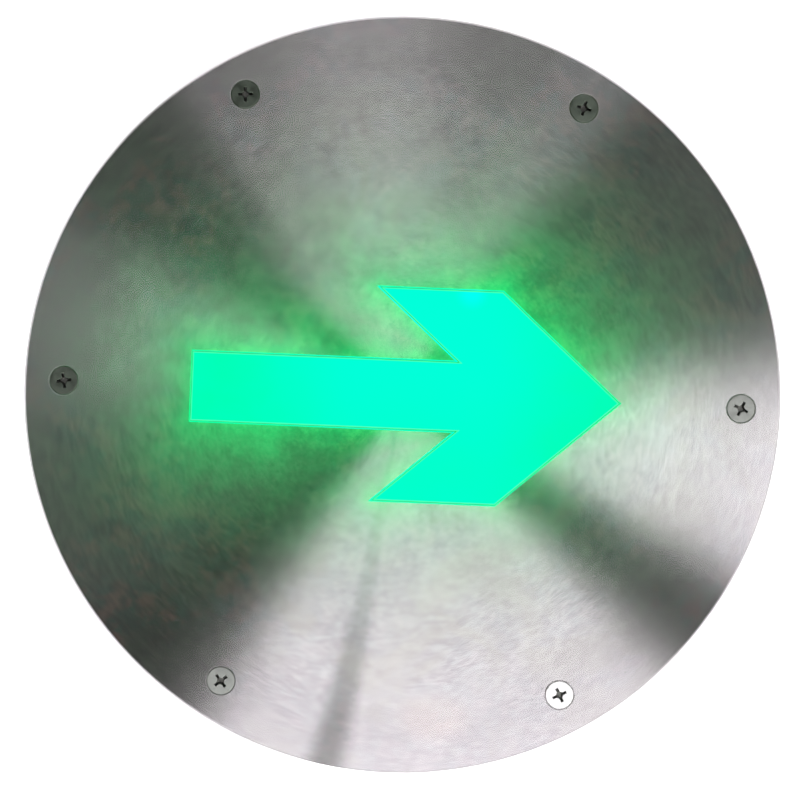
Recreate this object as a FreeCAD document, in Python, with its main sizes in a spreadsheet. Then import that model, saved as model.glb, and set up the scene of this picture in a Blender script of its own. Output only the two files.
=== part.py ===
"""Recessed LED direction marker: a round steel face with a lit arrow, on a sealed cast housing.

The frame is +Z out of the face and +X the way the arrow points. The origin is the middle of the housing's
foot, so the face is at the top. All lengths are in millimetres.
"""
import FreeCAD, Part
import math
import os
import re

import Sketcher

SIZES = {
    # face plate
    "plate_dia": 220, "plate_thick": 3, "plate_edge": 0.6, "face_top": 60,
    # arrow: tail and tip along X, half widths of head and shaft, end of the barbs, slope of the head's edges
    "arrow_tail": -61.7, "arrow_tip": 63.7, "arrow_half": 31.4, "shaft_half": 10.5, "barb_at": -8.8,
    "head_angle": 41.5,
    # lens, its gasket, the sheet behind it and the frame that clamps all three to the plate
    "lens_gap": 0.3, "lens_proud": 0.8, "lens_edge": 0.4, "lens_rim": 6, "lens_rim_thick": 3.5,
    "gasket_thick": 1, "diffuser_thick": 1, "frame_thick": 2, "frame_inset": 3.2,
    "frame_tail": 74, "frame_neck": 27, "frame_neck_half": 25, "frame_half": 48, "frame_shoulder": 34,
    "frame_nose": 78, "frame_nose_half": 9,
    # studs welded to the back of the plate, with their washers and nuts
    "stud_dia": 3, "stud_length": 10.6, "stud_rim": 11, "nut_flats": 5.5, "nut_thick": 2.4,
    "washer_dia": 7, "washer_thick": 0.5, "thread_play": 0.05,
    # countersunk face screws
    "screw_pcd": 197, "screw_count": 6, "screw_dia": 4, "screw_head": 8.1, "screw_land": 0.3,
    "screw_length": 14, "screw_sunk": 0.05, "sink_dia": 8.8, "clear_dia": 4.5,
    "recess_span": 4.3, "recess_slot": 0.85, "recess_hub": 2, "recess_depth": 1.7,
    # housing
    "body_low": 83, "body_high": 84.5, "wall": 3, "base_thick": 4, "foot_inner": 60, "foot_rise": 0.8,
    "rim_dia": 212, "rim_thick": 5, "rim_edge": 0.8, "rib_count": 8, "rib_wide": 2.4, "rib_high": 0.6,
    "rib_hub": 28, "seal_inner": 89, "seal_outer": 93, "seal_depth": 2,
    "boss_dia": 10, "boss_depth": 15, "thread_depth": 13, "gusset_thick": 3.2, "gusset_count": 12,
    "gusset_drop": 16, "lug_count": 4, "lug_pcd": 198, "lug_half": 9, "lug_thick": 6, "lug_hole": 5.5,
    "driver_hole": 9,
    "column_at": 70, "column_dia": 10, "pilot_dia": 3.1, "pilot_depth": 9,
    # wall fittings: cable gland, vent plug and earth terminal
    "fitting_level": 21, "wall_start": 81.5, "gland_face": 88, "gland_seat": 80.6, "gland_boss": 26,
    "gland_thread": 16, "gland_flats": 22, "gland_bore": 9.2, "cable_dia": 7, "seal_pocket": 12.4,
    "vent_face": 86, "vent_boss": 20, "vent_thread": 12, "vent_cap": 18,
    "earth_face": 86, "earth_boss": 12,
    # gear tray and what it carries
    "tray_level": 10, "tray_long": 126, "tray_wide": 84, "tray_thick": 1.2, "tray_lip": 5,
    "tray_hole_x": 52, "tray_hole_y": 34, "tray_boss": 8,
    "case_long": 90, "case_wide": 35, "case_high": 19, "case_wall": 1.6, "case_mid_y": 21.5, "lid_thick": 2,
    "board_thick": 1.6, "driver_level": 14.5, "cell_dia": 14.5, "cell_length": 50, "cell_mid_x": -16,
    "holder_mid_y": -22, "holder_wall": 1.5, "block_long": 30, "block_wide": 16, "block_high": 14,
    "block_mid_x": 31, "block_mid_y": -30, "pole_pitch": 9,
    # carrier plate, light engine and shroud
    "carrier_dia": 150, "carrier_thick": 3, "carrier_top": 38,
    "led_pitch": 9, "led_side": 5, "led_thick": 1.5, "led_lens": 3.6,
    "board_tail": 70, "board_neck": 20, "board_neck_half": 21, "board_half": 42,
    "board_shoulder": 26, "board_nose": 72, "board_nose_half": 10, "shroud_inset": 1, "shroud_wall": 1.6,
    "shroud_play": 0.3, "m_three": 3, "m_three_head": 5.6,
    # test switch
    "switch_y": 60, "switch_barrel": 12, "switch_body": 14, "switch_flange": 16, "switch_low": 20,
    "plunger_dia": 7, "plunger_play": 0.05, "plunger_foot": 9, "button_top": 46.5, "button_travel": 1.6,
    "switch_rim": 43.5, "foot_low": 26, "foot_thick": 2, "chamber_dia": 9.4,
    "spring_dia": 6.4, "spring_wire": 0.5, "spring_turns": 3,
    # internal leads
    "lead_dia": 1.6, "lead_pitch": 2.6, "lead_level": 27.5,
    "grommet_x": -36, "grommet_y": -30, "grommet_dia": 9, "plug_at": -19, "socket_at": -39,
}

# Levels, from the face down.
PLATE_LOW = "(face_top - plate_thick)"
RIM_HIGH = "(face_top - plate_thick - gasket_thick)"
RIM_LOW = "(face_top - plate_thick - gasket_thick - lens_rim_thick)"
DIFFUSER_LOW = "(face_top - plate_thick - gasket_thick - lens_rim_thick - diffuser_thick)"
FRAME_LOW = "(face_top - plate_thick - gasket_thick - lens_rim_thick - diffuser_thick - frame_thick)"
CARRIER_LOW = "(carrier_top - carrier_thick)"
BOARD_TOP = "(carrier_top + board_thick)"
TRAY_TOP = "(tray_level + tray_thick)"

doc = FreeCAD.newDocument("direction_marker")
sheet = doc.addObject("Spreadsheet::Sheet", "Sizes")
for row, (alias, number) in enumerate(SIZES.items(), 1):
    sheet.set("A%d" % row, alias)
    sheet.set("B%d" % row, str(number))
    sheet.setAlias("B%d" % row, alias)
doc.recompute()

nodes = []


# ---------------------------------------------------------------- formulas and placing

def bound(formula):
    """The formula with each alias turned into a reference to the sheet."""
    def tied(word):
        return "Sizes." + word.group() if word.group() in SIZES else word.group()
    return re.sub(r"[a-z_]+", tied, str(formula))


def value(formula):
    """What a formula comes to now."""
    found = sheet.evalExpression(bound(formula))
    return float(getattr(found, "Value", found))


def bind(thing, **formulas):
    """Ties properties to formulas."""
    for name, formula in formulas.items():
        thing.setExpression(name, bound(formula))
    return thing


def place(thing, x="0", y="0", z="0"):
    """Ties where a thing stands to formulas, and leaves how it is turned alone."""
    for axis, formula in zip("xyz", (x, y, z)):
        thing.setExpression("Placement.Base." + axis, bound(formula))
    return thing


def turned(thing, axis, degrees):
    """Turns a thing about an axis through its own origin."""
    thing.Placement = FreeCAD.Placement(FreeCAD.Vector(), FreeCAD.Rotation(FreeCAD.Vector(*axis), degrees))
    return thing


def node(thing, label):
    """Marks a finished sub-part, whose Label names its file."""
    thing.Label = label
    nodes.append(thing)
    return thing


# ---------------------------------------------------------------- sketches and features

def new_body(name):
    return doc.addObject("PartDesign::Body", name)


def new_sketch(owner, role="XY_Plane", offset="0", turn=0):
    """A sketch on one of the body's planes, moved along its normal, and turned about the body's Z axis."""
    made = owner.newObject("Sketcher::SketchObject", "sketch")
    base = next(f for f in owner.Origin.OriginFeatures if f.Role == role)
    made.AttachmentSupport = (base, [""])
    made.MapMode = "FlatFace"
    upright = FreeCAD.Vector(0, 0, 1) if role == "XY_Plane" else FreeCAD.Vector(0, 1, 0)
    spin = FreeCAD.Rotation(upright, turn)
    if role == "XY_Plane" or turn == 0:
        made.AttachmentOffset = FreeCAD.Placement(FreeCAD.Vector(), spin)
        made.setExpression("AttachmentOffset.Base.z", bound(offset))
    else:
        made.AttachmentOffset = FreeCAD.Placement(spin.multVec(FreeCAD.Vector(0, 0, value(offset))), spin)
        made.setExpression("AttachmentOffset.Base.x", bound("(%s) * sin(%s)" % (offset, turn)))
        made.setExpression("AttachmentOffset.Base.z", bound("(%s) * cos(%s)" % (offset, turn)))
    return made


def fix(sketch, kind, formula, *spots):
    """A sketch dimension tied to a formula, or a point held on an axis where the formula is 0."""
    number = sketch.addConstraint(Sketcher.Constraint(kind, *spots, value(formula)))
    sketch.setExpression("Constraints[%d]" % number, bound(formula))


def hold(sketch, shape, point, x, y):
    """Ties a point of the sketch to two formulas."""
    for kind, formula, axis in (("DistanceX", x, -2), ("DistanceY", y, -1)):
        if str(formula) == "0":
            sketch.addConstraint(Sketcher.Constraint("PointOnObject", shape, point, axis))
        else:
            fix(sketch, kind, formula, -1, 1, shape, point)


def draw_outline(sketch, points):
    """A closed outline of straight edges, each corner tied to two formulas."""
    corners = [FreeCAD.Vector(value(x), value(y), 0) for x, y in points]
    first, count = sketch.GeometryCount, len(corners)
    for i, corner in enumerate(corners):
        sketch.addGeometry(Part.LineSegment(corner, corners[(i + 1) % count]), False)
    for i in range(count):
        sketch.addConstraint(Sketcher.Constraint("Coincident", first + i, 2, first + (i + 1) % count, 1))
    for i, (x, y) in enumerate(points):
        hold(sketch, first + i, 1, x, y)


def draw_circle(sketch, diameter, x="0", y="0"):
    """A circle whose middle and diameter are tied to formulas."""
    middle = FreeCAD.Vector(value(x), value(y), 0)
    shape = sketch.addGeometry(Part.Circle(middle, FreeCAD.Vector(0, 0, 1), value(diameter) / 2), False)
    hold(sketch, shape, 3, x, y)
    fix(sketch, "Diameter", diameter, shape)


def draw_hexagon(sketch, flats):
    """A regular hexagon across its flats, about the sketch's origin."""
    corner = "(%s) / sqrt(3)" % flats
    angles = range(30, 390, 60)
    draw_outline(sketch, [("%s * cos(%d)" % (corner, a), "%s * sin(%d)" % (corner, a)) for a in angles])


def add_pad(owner, sketch, length, both_ways=False):
    made = owner.newObject("PartDesign::Pad", "pad")
    made.Profile = sketch
    made.Midplane = both_ways
    return bind(made, Length=length)


def add_pocket(owner, sketch, length, taper=None, both_ways=False, upward=False):
    made = owner.newObject("PartDesign::Pocket", "pocket")
    made.Profile = sketch
    made.Midplane = both_ways
    made.Reversed = upward
    if taper is not None:
        made.TaperAngle = taper
    return bind(made, Length=length)


def add_revolution(owner, sketch):
    """Turns a profile of the XZ plane about the body's Z axis."""
    made = owner.newObject("PartDesign::Revolution", "revolution")
    made.Profile = sketch
    made.ReferenceAxis = (sketch, ["V_Axis"])
    made.Angle = 360
    return made


def add_pattern(owner, features, sketch, count):
    """Repeats features evenly round the body's Z axis."""
    made = owner.newObject("PartDesign::PolarPattern", "pattern")
    made.Originals = features
    made.Axis = (sketch, ["N_Axis"])
    made.Angle = 360
    bind(made, Occurrences=count)
    owner.Tip = made
    return made


def add_chamfer(owner, edges_where, size):
    """Bevels the edges of the body so far for which edges_where is true."""
    doc.recompute()
    base = owner.Tip
    picked = ["Edge%d" % (i + 1) for i, e in enumerate(base.Shape.Edges) if edges_where(e)]
    made = owner.newObject("PartDesign::Chamfer", "chamfer")
    made.Base = (base, picked)
    return bind(made, Size=size)


def at_level(formula):
    """A test for edges that lie flat at one level."""
    level = value(formula)
    return lambda e: abs(e.BoundBox.ZMin - level) < 1e-4 and abs(e.BoundBox.ZMax - level) < 1e-4


def spun(name, profile):
    """A turned body from a profile of (radius, level) formulas."""
    made = new_body(name)
    sketch = new_sketch(made, "XZ_Plane")
    draw_outline(sketch, profile)
    add_revolution(made, sketch)
    return made


def slab(name, outlines, low, thick, circles=()):
    """A body cut from a sheet: outlines and holes in plan, from one level up."""
    made = new_body(name)
    sketch = new_sketch(made, offset=low)
    for points in outlines:
        draw_outline(sketch, points)
    for diameter, x, y in circles:
        draw_circle(sketch, diameter, x, y)
    add_pad(made, sketch, thick)
    return made


def rectangle(x_low, x_high, y_low, y_high):
    return [(x_low, y_low), (x_high, y_low), (x_high, y_high), (x_low, y_high)]


# ---------------------------------------------------------------- primitives and groups

def cylinder(diameter, height, x="0", y="0", z="0"):
    made = bind(doc.addObject("Part::Cylinder", "cylinder"), Radius="(%s) / 2" % diameter, Height=height)
    return place(made, x, y, z)


def block(long, wide, high, x="0", y="0", z="0"):
    """A box whose place is the middle of its underside."""
    made = bind(doc.addObject("Part::Box", "box"), Length=long, Width=wide, Height=high)
    return place(made, "(%s) - (%s) / 2" % (x, long), "(%s) - (%s) / 2" % (y, wide), z)


def cut(base, *tools):
    made = doc.addObject("Part::Cut", "cut")
    made.Base = base
    made.Tool = tools[0] if len(tools) == 1 else fuse(*tools)
    return made


def fuse(*pieces):
    made = doc.addObject("Part::MultiFuse", "fuse")
    made.Shapes = list(pieces)
    return made


def ring(outer, inner, height, x="0", y="0", z="0"):
    return cut(cylinder(outer, height, x, y, z), cylinder(inner, height, x, y, z))


def group(pieces):
    """Separate solids that share one node."""
    made = doc.addObject("Part::Compound", "group")
    made.Links = list(pieces)
    return made


def copies(master, places, turns=None):
    """The same body at several places, as separate solids."""
    made = []
    for i, (x, y, z) in enumerate(places):
        link = doc.addObject("App::Link", "copy")
        link.LinkedObject = master
        turned(link, (0, 0, 1), turns[i] if turns else 0)
        made.append(place(link, x, y, z))
    return group(made)


def on_circle(diameter, count, level, start=0):
    """Places spread evenly round the Z axis."""
    angles = [start + 360 / count * i for i in range(count)]
    half = "(%s) / 2" % diameter
    return [("%s * cos(%s)" % (half, a), "%s * sin(%s)" % (half, a), level) for a in angles]


# ---------------------------------------------------------------- the arrow's outline

def arrow(offset, clipped=False):
    """The arrow's outline grown by an offset, with its barbs cut off short where clipped."""
    half, shaft = "(arrow_half + %s)" % offset, "(shaft_half + %s)" % offset
    barb = "(barb_at - (%s) / tan(head_angle / 2))" % offset
    notch = "(%s + (arrow_half - shaft_half) / tan(head_angle))" % barb
    tip = "(arrow_tip + (%s) / sin(head_angle))" % offset
    shoulder = "(%s - %s / tan(head_angle))" % (tip, half)
    tail = "(arrow_tail - (%s))" % offset
    upper = [(shoulder, half), (barb, half)]
    if clipped:
        end = "(barb_at - (%s))" % offset
        cut_low = "(%s + (%s - %s) * tan(head_angle))" % (shaft, notch, end)
        upper = [(shoulder, half), (end, half), (end, cut_low)]
    upper += [(notch, shaft), (tail, shaft)]
    lower = [(x, "-" + y) for x, y in reversed(upper)]
    return [(tip, "0")] + upper + lower


def stepped(tail, neck, neck_half, half, shoulder, nose, nose_half):
    """A plain outline that goes round the arrow: a narrow end behind, a wide one in front."""
    upper = [(nose, nose_half), (shoulder, half), ("-" + neck, half), ("-" + neck, neck_half)]
    upper.append(("-" + tail, neck_half))
    return upper + [(x, "-" + y) for x, y in reversed(upper)]


# ---------------------------------------------------------------- face

def face_plate():
    """Steel disc with the arrow cut through it and countersunk holes round its rim."""
    plate = slab("face_plate", [], PLATE_LOW, "plate_thick", [("plate_dia", "0", "0")])
    opening = new_sketch(plate, offset="face_top")
    draw_outline(opening, arrow("0"))
    add_pocket(plate, opening, "plate_thick")
    spot = new_sketch(plate, offset="face_top")
    draw_circle(spot, "clear_dia", "screw_pcd / 2")
    doc.recompute()
    hole = plate.newObject("PartDesign::Hole", "hole")
    hole.Profile = spot
    doc.recompute()
    hole.DepthType = "ThroughAll"
    hole.HoleCutType = "Countersink"
    hole.HoleCutCountersinkAngle = 90
    bind(hole, Diameter="clear_dia", HoleCutDiameter="sink_dia")
    add_pattern(plate, [hole], spot, "screw_count")
    outer = value("plate_dia / 2")
    top = at_level("face_top")
    add_chamfer(plate, lambda e: top(e) and abs(e.BoundBox.XMax - outer) < 1e-4, "plate_edge")
    return plate


def arrow_lens():
    """Clear green moulding: an arrow that fills the opening, on a rim that stays behind the plate."""
    lens = slab("arrow_lens", [arrow("lens_rim", True)], RIM_LOW, "lens_rim_thick")
    boss = new_sketch(lens, offset=RIM_HIGH)
    draw_outline(boss, arrow("(-lens_gap)"))
    add_pad(lens, boss, "gasket_thick + plate_thick + lens_proud")
    add_chamfer(lens, at_level("face_top + lens_proud"), "lens_edge")
    return lens


def stud_places():
    """Where the plate's studs stand, round the arrow and clear of the lens's rim."""
    beside_shaft, beside_head = "(shaft_half + stud_rim)", "(arrow_half + stud_rim)"
    nose_x = "(arrow_tip - (arrow_half - stud_rim) / 2)"
    pairs = [
        ("(arrow_tail + stud_rim)", beside_shaft), ("(barb_at - stud_rim * 1.6)", beside_shaft),
        ("(barb_at + stud_rim / 2)", beside_head), ("(frame_shoulder - stud_rim)", beside_head),
        (nose_x, "(arrow_half - stud_rim / 2)"),
    ]
    spots = [("(arrow_tail - stud_rim + 1)", "0"), ("(arrow_tip + stud_rim)", "0")]
    for x, y in pairs:
        spots += [(x, y), (x, "-" + y)]
    return spots


def hex_nut(name, flats, thick, bore):
    """Hexagon nut, its upper side at the body's origin."""
    nut = new_body(name)
    sketch = new_sketch(nut, offset="-(%s)" % thick)
    draw_hexagon(sketch, flats)
    draw_circle(sketch, bore)
    add_pad(nut, sketch, thick)
    return nut


def lens_clamp():
    """Frame, studs, washers and nuts that hold the lens up against the plate."""
    spots = stud_places()
    outline = stepped("frame_tail", "frame_neck", "frame_neck_half", "frame_half", "frame_shoulder",
                      "frame_nose", "frame_nose_half")
    holes = [("stud_dia + 8 * thread_play", x, y) for x, y in spots]
    frame = slab("clamp_frame", [outline, arrow("frame_inset", True)], FRAME_LOW, "frame_thick", holes)
    node(frame, "clamp_frame")
    stud_low = "(%s - stud_length)" % PLATE_LOW
    node(group(cylinder("stud_dia", "stud_length", x, y, stud_low) for x, y in spots), "clamp_studs")
    washer_low = "(%s - washer_thick)" % FRAME_LOW
    bore = "stud_dia + 2 * thread_play"
    node(group(ring("washer_dia", bore, "washer_thick", x, y, washer_low) for x, y in spots), "clamp_washers")
    nut = hex_nut("clamp_nut", "nut_flats", "nut_thick", bore)
    turns = [7 * i for i in range(len(spots))]
    node(copies(nut, [(x, y, washer_low) for x, y in spots], turns), "clamp_nuts")


def cross_recess(owner, span, slot, hub, depth):
    """Cross recess sunk from the body's origin level: its walls lean in and its middle is widened."""
    arm, half, middle = "(%s) / 2" % span, "(%s) / 2" % slot, "(%s) / 2" % hub
    quarter = [(arm, half), (middle, half), (half, middle), (half, arm)]
    corners = quarter + [("-(%s)" % x, y) for x, y in reversed(quarter)]
    corners += [("-(%s)" % x, "-(%s)" % y) for x, y in quarter]
    corners += [(x, "-(%s)" % y) for x, y in reversed(quarter)]
    sketch = new_sketch(owner)
    draw_outline(sketch, corners)
    add_pocket(owner, sketch, depth, taper=-11)


def countersunk_screw():
    """Countersunk screw with a cross recess, its head's top at the body's origin."""
    head, shank = "screw_head / 2", "screw_dia / 2"
    screw = spun("countersunk_screw", [
        ("0", "0"), (head + " - 0.12", "0"), (head, "-0.12"), (head, "-screw_land"),
        (shank, "-(screw_land + (screw_head - screw_dia) / 2)"), (shank, "0.5 - screw_length"),
        (shank + " - 0.5", "-screw_length"), ("0", "-screw_length"),
    ])
    cross_recess(screw, "recess_span", "recess_slot", "recess_hub", "recess_depth")
    return screw


def pan_screw(name, shank, head, length):
    """Pan-head screw with a cross recess, its head 0.4 of its width high and its top at the body's origin."""
    high = "(0.4 * %s)" % head
    screw = spun(name, [
        ("0", "0"), ("%s * 0.32" % head, "0"), ("%s * 0.46" % head, "-%s * 0.3" % high),
        ("%s / 2" % head, "-" + high), ("%s / 2" % shank, "-" + high),
        ("%s / 2" % shank, "-(%s + %s)" % (high, length)),
        ("0", "-(%s + %s)" % (high, length)),
    ])
    cross_recess(screw, "%s * 0.5" % head, "%s * 0.12" % head, "%s * 0.24" % head, "%s * 0.55" % high)
    return screw


def face():
    node(face_plate(), "face_plate")
    node(arrow_lens(), "arrow_lens")
    rim = [arrow("lens_rim", True), arrow("(2 * lens_gap)")]
    node(slab("lens_gasket", rim, RIM_HIGH, "gasket_thick"), "lens_gasket")
    node(slab("diffuser_sheet", [arrow("lens_rim", True)], DIFFUSER_LOW, "diffuser_thick"), "diffuser_sheet")
    lens_clamp()
    head_top = "(face_top - screw_sunk)"
    turns = [66, 76, 4, 10, 39, 26]
    node(copies(countersunk_screw(), on_circle("screw_pcd", 6, head_top), turns), "face_screws")
    low = "(%s - seal_depth)" % PLATE_LOW
    node(ring("2 * seal_outer", "2 * seal_inner", "seal_depth", z=low), "face_gasket")


# ---------------------------------------------------------------- housing

def housing_fitting_seats(cup):
    """Flat-faced bosses on the wall for the gland, vent plug and earth screw, and their holes."""
    for turn, face_at, boss, bore, inner in (
        (0, "gland_face", "gland_boss", "gland_thread + 4 * thread_play", "gland_seat"),
        (30, "vent_face", "vent_boss", "vent_thread + 4 * thread_play", "gland_seat"),
        (-30, "earth_face", "earth_boss", None, None),
    ):
        outside = new_sketch(cup, "XZ_Plane", "wall_start", turn)
        draw_circle(outside, boss, "0", "fitting_level")
        add_pad(cup, outside, "%s - wall_start" % face_at)
        if inner:
            flat = new_sketch(cup, "XZ_Plane", inner, turn)
            draw_circle(flat, boss, "0", "fitting_level")
            add_pocket(cup, flat, "gland_boss / 2")
            through = new_sketch(cup, "XZ_Plane", face_at, turn)
            draw_circle(through, bore, "0", "fitting_level")
            add_pocket(cup, through, "gland_boss / 2")
        else:
            blind = new_sketch(cup, "XZ_Plane", face_at, turn)
            draw_circle(blind, "screw_dia + 2 * thread_play", "0", "fitting_level")
            add_pocket(cup, blind, "wall")


def housing():
    """Cast aluminium cup: sealed rim, screw bosses on gussets, fixing lugs, and bosses inside."""
    rim_low = "(%s - rim_thick)" % PLATE_LOW
    inner_high, inner_low = "(body_high - wall)", "(body_low - wall)"
    cup = spun("housing", [
        ("0", "foot_rise"), ("foot_inner", "foot_rise"), ("foot_inner", "0"), ("body_low - 2", "0"),
        ("body_low", "2"), ("body_high", rim_low), ("rim_dia / 2 - rim_edge", rim_low),
        ("rim_dia / 2", "%s + rim_edge" % rim_low), ("rim_dia / 2", PLATE_LOW), ("seal_outer", PLATE_LOW),
        ("seal_outer", "%s - seal_depth" % PLATE_LOW), ("seal_inner", "%s - seal_depth" % PLATE_LOW),
        ("seal_inner", PLATE_LOW), (inner_high, PLATE_LOW), (inner_low, "base_thick"), ("0", "base_thick"),
    ])
    gusset = new_sketch(cup, "XZ_Plane")
    start = "(wall_start + 0.5)"
    draw_outline(gusset, [(start, rim_low), (start, "%s - gusset_drop" % rim_low),
                          ("rim_dia / 2 - 2", "%s - 2" % rim_low), ("rim_dia / 2 - 2", rim_low)])
    web = add_pad(cup, gusset, "gusset_thick", both_ways=True)
    plan = new_sketch(cup, offset="(%s - boss_depth)" % PLATE_LOW)
    draw_circle(plan, "boss_dia", "screw_pcd / 2")
    add_pattern(cup, [web], plan, "gusset_count")
    boss = add_pad(cup, plan, "boss_depth - rim_thick")
    add_pattern(cup, [boss], plan, "screw_count")
    thread = new_sketch(cup, offset=PLATE_LOW)
    draw_circle(thread, "screw_dia + 2 * thread_play", "screw_pcd / 2")
    add_pattern(cup, [add_pocket(cup, thread, "thread_depth")], thread, "screw_count")

    arm = new_sketch(cup, turn=45)
    draw_outline(arm, rectangle("body_low - wall", "lug_pcd / 2", "-lug_half", "lug_half"))
    end = new_sketch(cup, turn=45)
    draw_circle(end, "2 * lug_half", "lug_pcd / 2")
    pads = [add_pad(cup, arm, "lug_thick"), add_pad(cup, end, "lug_thick")]
    add_pattern(cup, pads, arm, "lug_count")
    lug_top, outside = at_level("lug_thick"), value("body_low + 3")
    add_chamfer(cup, lambda e: lug_top(e) and math.hypot(*e.CenterOfMass[:2]) > outside, "rim_edge")
    fixing = new_sketch(cup, offset="lug_thick", turn=45)
    draw_circle(fixing, "lug_hole", "lug_pcd / 2")
    add_pattern(cup, [add_pocket(cup, fixing, "lug_thick")], fixing, "lug_count")
    access = new_sketch(cup, offset=PLATE_LOW, turn=45)
    draw_circle(access, "driver_hole", "lug_pcd / 2")
    add_pattern(cup, [add_pocket(cup, access, "rim_thick")], access, "lug_count")

    rib = new_sketch(cup, offset="foot_rise - rib_high")
    draw_outline(rib, rectangle("rib_hub / 2 - 1", "foot_inner + 1", "-rib_wide / 2", "rib_wide / 2"))
    web = add_pad(cup, rib, "rib_high + 0.5")
    add_pattern(cup, [web], rib, "rib_count")
    hub = new_sketch(cup, offset="foot_rise - rib_high")
    draw_circle(hub, "rib_hub")
    draw_circle(hub, "rib_hub - 2 * rib_wide")
    add_pad(cup, hub, "rib_high + 0.5")
    stem = new_sketch(cup, offset="base_thick / 2", turn=45)
    draw_circle(stem, "column_dia", "column_at")
    add_pattern(cup, [add_pad(cup, stem, "%s - base_thick / 2" % CARRIER_LOW)], stem, "lug_count")
    pilot = new_sketch(cup, offset=CARRIER_LOW, turn=45)
    draw_circle(pilot, "pilot_dia", "column_at")
    add_pattern(cup, [add_pocket(cup, pilot, "pilot_depth")], pilot, "lug_count")

    corners = [(x + "tray_hole_x", y + "tray_hole_y") for x in ("", "-") for y in ("", "-")]
    pillars = new_sketch(cup, offset="base_thick / 2")
    drilled = new_sketch(cup, offset="tray_level")
    for x, y in corners:
        draw_circle(pillars, "tray_boss", x, y)
        draw_circle(drilled, "pilot_dia", x, y)
    add_pad(cup, pillars, "tray_level - base_thick / 2")
    add_pocket(cup, drilled, "tray_level - base_thick / 2")
    housing_fitting_seats(cup)
    return cup


# ---------------------------------------------------------------- wall fittings

def facing_out(thing, distance, turn=0):
    """Stands a body made along +Z on the housing's wall, pointing out of it, turn degrees round from -Y."""
    lying = FreeCAD.Rotation(FreeCAD.Vector(1, 0, 0), 90)
    around = FreeCAD.Rotation(FreeCAD.Vector(0, 0, 1), turn)
    thing.Placement = FreeCAD.Placement(FreeCAD.Vector(), around * lying)
    x, y = "(%s) * sin(%s)" % (distance, turn), "-(%s) * cos(%s)" % (distance, turn)
    return place(thing, x, y, "fitting_level")


def cable_gland():
    """Cable gland of five pieces. Level 0 of each is the flat face of the housing's boss."""
    inside = "(gland_face - gland_seat)"
    thread = "gland_thread / 2"
    body = spun("gland_body", [
        ("gland_bore / 2", "-(%s + 6)" % inside), (thread, "-(%s + 6)" % inside), (thread, "15"),
        ("seal_pocket / 2", "15"), ("seal_pocket / 2", "8"), ("gland_bore / 2", "8"),
    ])
    collar = new_sketch(body, offset="1")
    draw_hexagon(collar, "gland_flats")
    draw_circle(collar, "gland_thread - 1")
    add_pad(body, collar, "5")
    seal = spun("gland_seal", [
        ("cable_dia / 2", "8"), ("seal_pocket / 2 - thread_play", "8"),
        ("seal_pocket / 2 - thread_play", "15.4"), ("cable_dia / 2 + 1.4", "17.4"), ("cable_dia / 2", "17.4"),
    ])
    nut = new_body("gland_nut")
    flats = new_sketch(nut, offset="6")
    draw_hexagon(flats, "gland_flats")
    add_pad(nut, flats, "8")
    dome = new_sketch(nut, "XZ_Plane")
    draw_outline(dome, [("0", "13"), ("gland_flats / 2 - 0.5", "13"), ("gland_flats / 2 - 0.5", "15"),
                        ("gland_flats / 2 - 2", "17.8"), ("gland_flats / 2 - 4.6", "19.4"), ("0", "19.4")])
    add_revolution(nut, dome)
    hollow = new_sketch(nut, "XZ_Plane")
    play = "gland_thread / 2 + thread_play"
    draw_outline(hollow, [("0", "5"), (play, "5"), (play, "15.4"), ("cable_dia / 2 + 1.6", "17.6"),
                          ("cable_dia / 2 + 1", "20"), ("0", "20")])
    groove = nut.newObject("PartDesign::Groove", "groove")
    groove.Profile = hollow
    groove.ReferenceAxis = (hollow, ["V_Axis"])
    groove.Angle = 360
    washer = spun("gland_washer", rectangle(play, "gland_flats / 2 + 0.6", "0", "1"))
    lock = hex_nut("gland_locknut", "gland_flats", "4", "gland_thread + 2 * thread_play")
    for piece in (body, seal, nut, washer):
        node(facing_out(piece, "gland_face"), piece.Name)
    node(facing_out(lock, "gland_seat"), "gland_locknut")


def vent_plug():
    """Pressure vent: a slotted cap on a threaded stem, with a ring seal under it."""
    stem = "vent_thread / 2"
    cap = spun("vent_plug", [
        ("0", "-7"), (stem, "-7"), (stem, "0"), ("vent_cap / 2 - 2.6", "0"), ("vent_cap / 2 - 2.6", "0.8"),
        ("vent_cap / 2", "0.8"), ("vent_cap / 2", "5"), ("vent_cap / 2 - 1", "6"), ("0", "6"),
    ])
    slot = new_sketch(cap, offset="0.8")
    draw_outline(slot, rectangle("vent_cap / 2 - 1.8", "vent_cap / 2 + 1", "-1.2", "1.2"))
    add_pattern(cap, [add_pocket(cap, slot, "3", upward=True)], slot, "8")
    coin = new_sketch(cap, offset="6")
    draw_outline(coin, rectangle("-5.5", "5.5", "-0.8", "0.8"))
    cap.Tip = add_pocket(cap, coin, "1.2")
    node(facing_out(cap, "vent_face", 30), "vent_plug")
    seal = spun("vent_seal", rectangle("vent_cap / 2 - 2.5", "vent_cap / 2 + 0.4", "0", "0.8"))
    node(facing_out(seal, "vent_face", 30), "vent_seal")


def earth_terminal():
    """Screw and washer for an earth wire, on the outside of the housing."""
    washer = spun("earth_washer", rectangle("screw_dia / 2 + thread_play", "earth_boss / 2 - 1", "0", "1"))
    node(facing_out(washer, "earth_face", -30), "earth_washer")
    screw = pan_screw("earth_screw", "screw_dia", "8", "3.6")
    node(facing_out(screw, "(earth_face + 1 + 0.4 * 8)", -30), "earth_screw")


# ---------------------------------------------------------------- gear tray

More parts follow.
